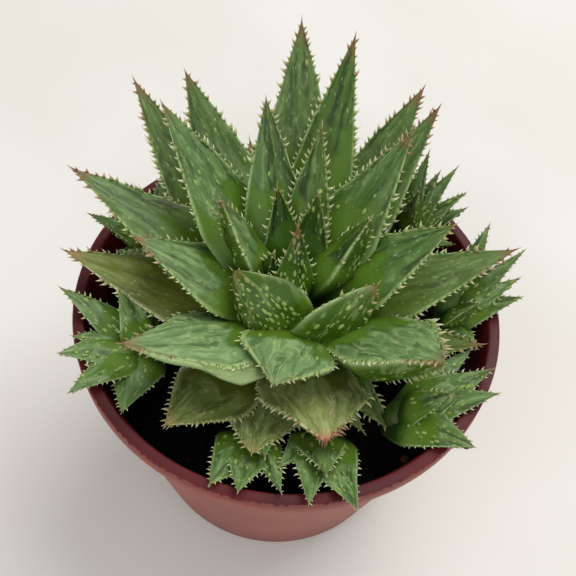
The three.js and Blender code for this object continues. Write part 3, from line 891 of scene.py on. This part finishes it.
def leaf_markings():
    colours = {name: "Color" for name in ("Flank", "Face", "Dark", "Line", "Base", "Tip", "Old")}
    results = {"Color": "Color", "Roughness": "Float", "Height": "Float"}
    tree, given, out = new_group("leaf_markings", colours, results)
    across, along, under = parts_of(tree, attribute(tree, "leaf_share")["Vector"])
    age, pale, rust = parts_of(tree, attribute(tree, "leaf_look")["Vector"])
    place = attribute(tree, "leaf_mm")["Vector"]
    over = calc(tree, "SUBTRACT", 1.0, under)
    paleness = calc(tree, "POWER", pale, 1.7)
    edge = calc(tree, "ABSOLUTE", across)

    # The patterns. The wavy ones are read at places that a slow noise has pushed aside.
    cloud = pattern(tree, place, 0.16, 0.1)
    slow = {"Vector": stretched(tree, place, (0.25, 0.16, 1)), "Scale": 1.0}
    bend = put(tree, "ShaderNodeTexNoise", slow).outputs["Color"]
    wavy = vector_calc(tree, "ADD", stretched(tree, bend, (3.6, 9, 0)), place)[0]
    ridge = pattern(tree, wavy, 0.46, 0.05, 1)
    mottle = pattern(tree, wavy, 0.6, 0.3, 3, 0.6)
    fine = pattern(tree, place, 2.6, 1.6, 3)
    fleck = cells(tree, stretched(tree, place, (0.8, 0.42, 1)), 1.0)
    lace = cells(tree, stretched(tree, wavy, (0.5, 0.2, 1)), 0.9, feature="DISTANCE_TO_EDGE")

    # The plain base ends further out on pale leaves, along an uneven line. The window lies beyond it.
    where = times_plus(tree, calc(tree, "SUBTRACT", cloud, 0.35), 0.6, along)
    where = times_plus(tree, paleness, 0.12, where)
    outer = fade(tree, where, 0.64, 0.74)
    face = times(tree, over, outer)
    window = times(tree, face, paleness)
    # Partly painted light: the base turns a bright green, for light that shines through its swollen flesh.
    base = fade(tree, where, 0.74, 0.62, 0.0, 0.85)
    # Painted shade: every leaf darkens towards its foot, where it goes down between the other leaves.
    foot = fade(tree, along, 0.42, 0.16, 0.0, 0.85)

    # Grooves are weaker on the flanks and on pale faces, and pale crests and clouding lie between them. The
    # crests are partly pale markings and partly a painted sheen along the ridges.
    depth = calc(tree, "SUBTRACT", times_plus(tree, over, 0.6, 0.4), times(tree, paleness, 0.35))
    groove = times(tree, fade(tree, ridge, 0.52, 0.36), fade(tree, where, 0.56, 0.72, 0.1, 0.75), depth)
    crest_and_sheen = times(tree, fade(tree, ridge, 0.53, 0.66), outer, fade(tree, mottle, 0.4, 0.65))
    light = calc(tree, "MAXIMUM", crest_and_sheen, times(tree, fade(tree, mottle, 0.54, 0.7), 0.6))
    light = times(tree, light, times_plus(tree, paleness, 0.4, 0.16))

    # A faint net on the window, flecks all over, and pale margins.
    net = times(tree, fade(tree, lace, 0.2, 0.0), window, fade(tree, mottle, 0.38, 0.62, 0.05, 0.55))
    spots = times(tree, fade(tree, fleck, 0.3, 0.14), fade(tree, mottle, 0.35, 0.6))
    flecks = times(tree, spots, fade(tree, along, 0.3, 0.6, 0.1, 0.5))
    margin = fade(tree, times_plus(tree, under, -0.07, edge), 0.87, 0.99)
    margin = times(tree, margin, fade(tree, along, 0.3, 0.6, 0.1, 0.9))

    # Age, and the burnt tip with a few brown blotches.
    aged = times(tree, age, fade(tree, cloud, 0.25, 0.7, 0.4, 1.0))
    blotch = fade(tree, pattern(tree, place, 0.3, 0.22), 0.68, 0.75)
    blotch = times(tree, blotch, fade(tree, along, 0.5, 0.8, 0.0, 0.8))
    tip = calc(tree, "ADD", fade(tree, along, 0.89, 0.995), blotch)
    burn = times(tree, rust, tip, fade(tree, fine, 0.25, 0.6, 0.4, 1.0))

    # The coats of colour, from the lowest to the top one. The Dark coat at the foot is painted shade, and
    # the Base coat is partly painted light.
    coats = ((window, "Face"), (groove, "Dark"), (light, "Line"), (net, "Line"), (flecks, "Line"),
             (base, "Base"), (foot, "Dark"), (margin, "Line"), (aged, "Old"), (burn, "Tip"))
    colour = given["Flank"]
    for share, label in coats:
        colour = mixed(tree, share, colour, given[label])
    tree.links.new(colour, out["Color"])

    # The gloss and the relief follow the same patterns.
    tree.links.new(times_plus(tree, mottle, 0.35, 0.25), out["Roughness"])
    raised = calc(tree, "MAXIMUM", spots, net)
    relief = times_plus(tree, raised, 0.25, times(tree, ridge, 0.5))
    tree.links.new(times_plus(tree, fine, 0.12, relief), out["Height"])
    return tree


MARKINGS = leaf_markings()
print("markings have", len(MARKINGS.nodes), "nodes")

# %% [markdown]
# Four skins share the markings: mature leaves, old ones that are olive and rusty, young plants, and
# the youngest leaves at the heart. The old skin is pale, partly the old leaves' own colour and partly
# painted light, for they lie in the shade of the upper leaves. The heart's darker green is partly its
# own and partly painted shade of the leaves round it. Teeth and pearls have a plain finish that pales
# from the foot to the top, and that turns brown near a burnt tip.

# %% Leaf finishes
BURNT_HORN = srgb(136, 88, 62)


def leaf_finish(name, **colours):
    finish, tree, shader = new_finish(name, Specular_IOR_Level=0.32, Subsurface_Weight=0.12,
                                      Subsurface_Scale=0.002)
    marks = put(tree, "ShaderNodeGroup", node_tree=MARKINGS)
    for label, colour in colours.items():
        marks.inputs[label].default_value = srgb(*colour)
    tree.links.new(marks.outputs["Color"], shader["Base Color"])
    tree.links.new(marks.outputs["Roughness"], shader["Roughness"])
    bump(tree, shader, marks.outputs["Height"], 0.6, 0.8)
    return finish


def horn_finish(name, root, point, rough):
    """A finish that goes from the colour at the foot of a tooth or pearl to that at its top, and is
    brown near a burnt tip."""
    finish, tree, shader = new_finish(name, Roughness=rough, Specular_IOR_Level=0.4,
                                      Subsurface_Weight=0.1, Subsurface_Scale=0.001)
    height = attribute(tree, "stand_out")["Fac"]
    colour = mixed(tree, fade(tree, height, 0.1, 0.8), root, point)
    stain = fade(tree, grain(tree, object_place(tree), 400, 1), 0.55, 0.7, 0.0, 0.35)
    colour = mixed(tree, stain, colour, root)
    along = parts_of(tree, attribute(tree, "leaf_share")["Vector"])[1]
    rust = parts_of(tree, attribute(tree, "leaf_look")["Vector"])[2]
    colour = mixed(tree, times(tree, rust, fade(tree, along, 0.7, 0.98)), colour, BURNT_HORN)
    tree.links.new(colour, shader["Base Color"])
    return finish


mature = leaf_finish("leaf_skin", Flank=(58, 88, 6), Face=(104, 136, 84), Dark=(16, 40, 4),
                     Line=(158, 180, 120), Base=(82, 114, 26), Tip=(138, 92, 62), Old=(108, 112, 44))
# Partly painted light: the old skin is paler, for the light that reaches the old leaves under the upper
# ones.
old = leaf_finish("old_leaf_skin", Flank=(84, 102, 26), Face=(152, 168, 108), Dark=(48, 60, 16),
                  Line=(214, 212, 164), Base=(72, 84, 14), Tip=(196, 130, 106), Old=(128, 134, 60))
young = leaf_finish("young_leaf_skin", Flank=(70, 100, 16), Face=(114, 144, 94), Dark=(22, 44, 10),
                    Line=(172, 192, 140), Base=(84, 114, 32), Tip=(130, 100, 68), Old=(96, 106, 48))
# Partly painted shade: the heart's skin is a darker green for the shade of the leaves round it.
heart_finish = leaf_finish("heart_leaf_skin", Flank=(44, 74, 6), Face=(84, 114, 60), Dark=(16, 36, 4),
                           Line=(150, 172, 110), Base=(60, 94, 8), Tip=(140, 84, 46), Old=(96, 106, 48))
horn = horn_finish("tooth_horn", srgb(104, 128, 50), srgb(208, 208, 168), 0.45)
pearl = horn_finish("leaf_pearl", srgb(86, 114, 34), srgb(140, 162, 84), 0.5)
print("leaf finishes", [finish.name for finish in (mature, old, young, heart_finish, horn, pearl)])

# %% [markdown]
# ## The rosette
# Each row gives a leaf's seat on the stem (azimuth, height), its tip (azimuth, reach, height), the
# angle at which it rises, its width, its thickness, its look (how old it is, how pale its face is and
# how burnt its tip is), and then what is its own. A leaf that sets off sideways has an azimuth of its
# own, roll turns it about its length, and keel moves the keel towards one margin. pearls is how
# thickly they stand on its flanks and face. tooth is the length of its teeth, and pitch the distance
# between them.

# %% Table of leaves
HEART = [
    ((285, 68), (75, 1, 96.5), 96, 9, 6, (0, 0.1, 0.8), dict(pearls=(0.8, 0.1))),
    ((105, 70), (112, 14, 94.5), 62, 9, 5, (0, 0.1, 0.3), dict(pearls=(0.3, 0.1))),
    ((65, 70), (72, 12.6, 95), 62, 10, 5, (0, 0.1, 0.3), dict(pearls=(0.6, 0.2))),
    ((165, 69), (174, 4.5, 87), 78, 5.5, 4.5, (0, 0.2, 0.2), dict(pearls=(0.3, 0))),
]
LEAVES = [
    ((150, 69), (155, 19, 94), 64, 12, 8.5, (0.05, 0.7, 0.6), dict(roll=28, pearls=(0.5, 0))),
    ((30, 69), (25, 17.5, 94), 64, 12.5, 9.5, (0, 0.25, 0.2), dict(roll=-30, pearls=(0.55, 0))),
    ((80, 69), (83, 26, 102), 60, 11, 6, (0, 0.3, 0.3), dict(pearls=(0.4, 0.1))),
    ((288, 65), (187.5, 13.4, 82), 66, 19.8, 11, (0, 0.7, 0.5),
     dict(**STUBBY, azimuth=246, roll=23, keel=0.2, pearls=(1, 0), tooth=1.3, pitch=1.2)),
    ((300, 65), (356, 19.4, 82), 37, 21.5, 9.8, (0, 0.8, 0.5),
     dict(**STUBBY, azimuth=306, roll=-12, pearls=(0.3, 0), pitch=1.4)),
    ((112, 67), (108, 32, 104), 58, 15, 7, (0, 0.5, 0.3)),
    ((142, 66), (141, 42, 103), 50, 18, 8, (0, 0.6, 0.5)),
    ((50, 66), (50, 37, 100), 50, 18, 8, (0, 0.45, 0.7)),
    ((275, 65), (267, 31.5, 86), 47, 21.5, 7, (0.05, 1, 0.2),
     dict(**BLUNT, azimuth=284, roll=-16, tooth=1.4, pitch=1.4)),
    ((182, 65), (180, 35, 88), 42, 19, 8, (0.05, 0.75, 0.9)),
    ((15, 65), (18, 37, 90), 42, 20, 8, (0, 0.45, 0.3)),
    ((80, 64), (80, 51, 108), 46, 16, 7, (0, 0.2, 0.8)),
    ((125, 63), (125, 53, 98), 36, 20, 7.5, (0.05, 0.3, 0.5)),
    ((320, 63), (320, 41, 93), 32, 22.5, 10, (0.05, 0.85, 0.5),
     dict(**BLUNT, azimuth=340, roll=-25, keel=0.3, pearls=(0.15, 0), tooth=2.0, pitch=1.3)),
    ((235, 62), (216, 41.5, 83.5), 48, 24, 7.5, (0.05, 1, 0.7),
     dict(**BLUNT, azimuth=248, roll=4, keel=-0.2, pearls=(0.15, 0), pitch=1.3)),
    ((92, 62), (94, 59, 104), 36, 21, 7.5, (0.1, 0.5, 0.6)),
    ((138, 60), (136, 59, 96), 28, 18, 7, (0.15, 0.4, 0.8)),
    ((162, 62), (163, 54.5, 90), 38, 20, 8, (0.1, 0.6, 0.8)),
    ((53, 62), (53, 51, 98), 36, 16, 7, (0.1, 0.4, 0.9)),
    ((66, 60), (63, 63, 90), 24, 18, 7, (0.15, 0.4, 0.9)),
    ((12, 61), (14, 53, 82), 26, 19, 7.5, (0.2, 0.45, 0.8)),
    ((184, 60), (179, 52, 79), 26, 21, 6.5, (0.45, 0.1, 0.6), dict(pearls=(0, 0))),
    ((345, 59), (350, 45.5, 72), 18, 17, 6.5, (0.4, 0.3, 0.6)),
    ((240, 60), (238.5, 43.5, 74.4), 10, 19.5, 6, (0.3, 0.5, 0.4), dict(**BLUNT, pearls=(0, 0), pitch=1.3)),
    ((288, 60), (285.5, 39.3, 76.2), 22, 25, 7, (0.5, 0.9, 1.0),
     dict(**BLUNT, azimuth=291, roll=-11, pearls=(0, 0), tooth=1.8, pitch=1.2)),
    ((262, 59), (264, 41, 73), 4, 19, 5.5, (0.2, 0.7, 0.3), dict(**BLUNT, pearls=(0, 0.05), pitch=1.3)),
    ((302, 60), (304.5, 34.6, 63), 10, 12, 4.5, (0.3, 0.9, 0.4)),
    ((318, 60), (313.5, 37.7, 62.5), 8, 12, 4.5, (0.3, 0.5, 0.4)),
    ((108, 59), (108, 47, 76), 18, 17, 6.5, (0.7, 0.4, 0.6)),
    ((80, 59), (82, 46, 74), 16, 16, 6.5, (0.7, 0.4, 0.6)),
]
OLD_LEAVES = (22, 24, 25, 26, 29, 30)
print("leaves", len(LEAVES) + len(HEART))

# %% [markdown]
# Each leaf draws its teeth and pearls from a seed of its own, so a change to one leaf leaves the
# others as they are. Old leaves take the olive skin.

# %% Large leaves
def triangle_count(piece):
    piece.data.calc_loop_triangles()
    return len(piece.data.loop_triangles)


leaves = []
for number, row in enumerate(LEAVES, 1):
    bm = whole_leaf(large_leaf(*row), random.Random(number))
    node = f"leaf_{number:02d}"
    if number in OLD_LEAVES:
        leaf = new_piece("fine_" + node, bm, [old, horn, pearl], node)
    else:
        leaf = new_piece("fine_" + node, bm, [mature, horn, pearl], node)
    leaves.append(leaf)
print("leaf triangles", sum(triangle_count(leaf) for leaf in leaves))

# %% [markdown]
# The growing point is one body: the short stem, turned from its outline, with the four youngest
# leaves on it. Old leaves hide all of the stem but a little of its bright top.

# %% Stem and heart
STEM = [(5, 44), (6.4, 52), (7, 60), (7, 66), (5, 71), (2.5, 74)]
STEM_TOP = 75
STEM_SIDES = 32

bm = bmesh.new()
layers = leaf_layers(bm)
spun(bm, [(0, STEM[0][1]), *STEM, (0, STEM_TOP)], STEM_SIDES)
tag_stem(bm, layers)
draw = random.Random(40)
for row in HEART:
    join_into(bm, whole_leaf(large_leaf(*row), draw))
heart = new_piece("fine_heart", bm, [heart_finish, horn, pearl], "stem_and_heart")
print("heart triangles", triangle_count(heart))

# %% [markdown]
# ## Young plants
# A young plant is a small rosette on its own stem, and its narrow leaves are full of pearls. The table
# gives where it stands (azimuth, reach), the height of its crown, and for each of its leaves the tip
# (azimuth, reach, height) and the width. A leaf sets off from the crown almost straight towards its
# tip, only a little steeper.

# %% Table of young plants
YOUNG = dict(base=0.7, widest=0.35, swell=1, taper=1.1, face=0.24, flank=0.8, roll=0, keel=0,
             tooth=1.1, pitch=1.5, look=(0, 0.6, 0.2), pearls=(0.6, 0.3))
PUPS = dict(
    pup_left=((203, 35), 66, [
        (188, 52, 76, 9), (200, 50, 72, 9), (206, 53.5, 75, 12), (217, 54.5, 75.5, 10),
        (226, 47, 71, 13), (193, 38.5, 80, 9), (180, 36, 71, 8)]),
    pup_back_left=((155, 39), 64, [
        (166, 50.5, 79, 8), (152, 53, 76, 8), (138, 48, 73, 8), (175, 42, 73, 8), (150, 44, 76, 7)]),
    pup_back_right=((44, 37), 66, [
        (51, 48.5, 86, 7), (46, 49, 82, 7), (43, 52, 84, 7), (37, 51, 80, 7.5), (35, 51, 76, 8),
        (62, 45, 78, 7), (26, 43, 74, 7), (44, 40, 82, 6)]),
    pup_right=((4, 38), 66, [
        (25, 51, 80, 8), (15, 56, 80, 7), (9, 54, 77, 8), (4, 54, 76, 9), (359, 43, 78, 9),
        (350, 45, 70, 8), (16, 42, 74, 8)]),
    pup_front_right=((318, 36), 66, [
        (342, 49, 74, 11), (336, 52, 74, 10), (331, 45, 72, 12), (319.5, 54.2, 75.5, 13),
        (350, 44, 70, 8), (326, 44, 78, 9)]),
    pup_front_left=((262, 30), 63, [
        (256, 49.5, 72.5, 13), (263, 50, 74, 12), (273, 48, 72, 8), (268, 41, 73, 8)]),
    pup_front=((288, 30), 63, [
        (279, 51.5, 74.5, 10), (284, 46, 76, 12), (289, 54, 75.5, 13), (272, 42, 70, 7)]),
)
print("young leaves", sum(len(tips) for place, crown, tips in PUPS.values()))

# %% [markdown]
# The stem is a short round peg. Its leaves are small, so they have fewer points round them. All of a
# young plant is one piece.

# %% Young plants
PUP_STEM_RADIUS = 2.8
PUP_STEM_FOOT = 46
PUP_STEM_SIDES = 16
PUP_LEAF_SIDES = 18
PUP_THICK = 0.5
PUP_LIFT = 8


def young_leaf(foot, crown, turn, reach, height, width):
    """A leaf of a young plant. Wide leaves sit lower on the crown."""
    seat = Vector((foot.x, foot.y, crown - width / 3))
    away = polar(turn, reach, height) - seat
    azimuth = math.degrees(math.atan2(away.y, away.x))
    rise = math.degrees(math.atan2(away.z, away.xy.length)) + PUP_LIFT
    return with_line(dict(foot=seat, tip_point=seat + away, azimuth=azimuth, rise=rise,
                          width=width, thick=width * PUP_THICK, **YOUNG))


young_plants = []
for number, (node, (place, crown, tips)) in enumerate(PUPS.items()):
    bm = bmesh.new()
    layers = leaf_layers(bm)
    foot = polar(*place, 0)
    height = crown - PUP_STEM_FOOT
    middle = Matrix.Translation(foot + Vector((0, 0, PUP_STEM_FOOT + height / 2)))
    bmesh.ops.create_cone(bm, cap_ends=True, segments=PUP_STEM_SIDES, radius1=PUP_STEM_RADIUS,
                          radius2=PUP_STEM_RADIUS, depth=height, matrix=middle)
    tag_stem(bm, layers)
    draw = random.Random(60 + number)
    for tip in tips:
        join_into(bm, whole_leaf(young_leaf(foot, crown, *tip), draw, PUP_LEAF_SIDES))
    young_plants.append(new_piece("fine_" + node, bm, [young, horn, pearl], node))
print("young plant triangles", sum(triangle_count(plant) for plant in young_plants))
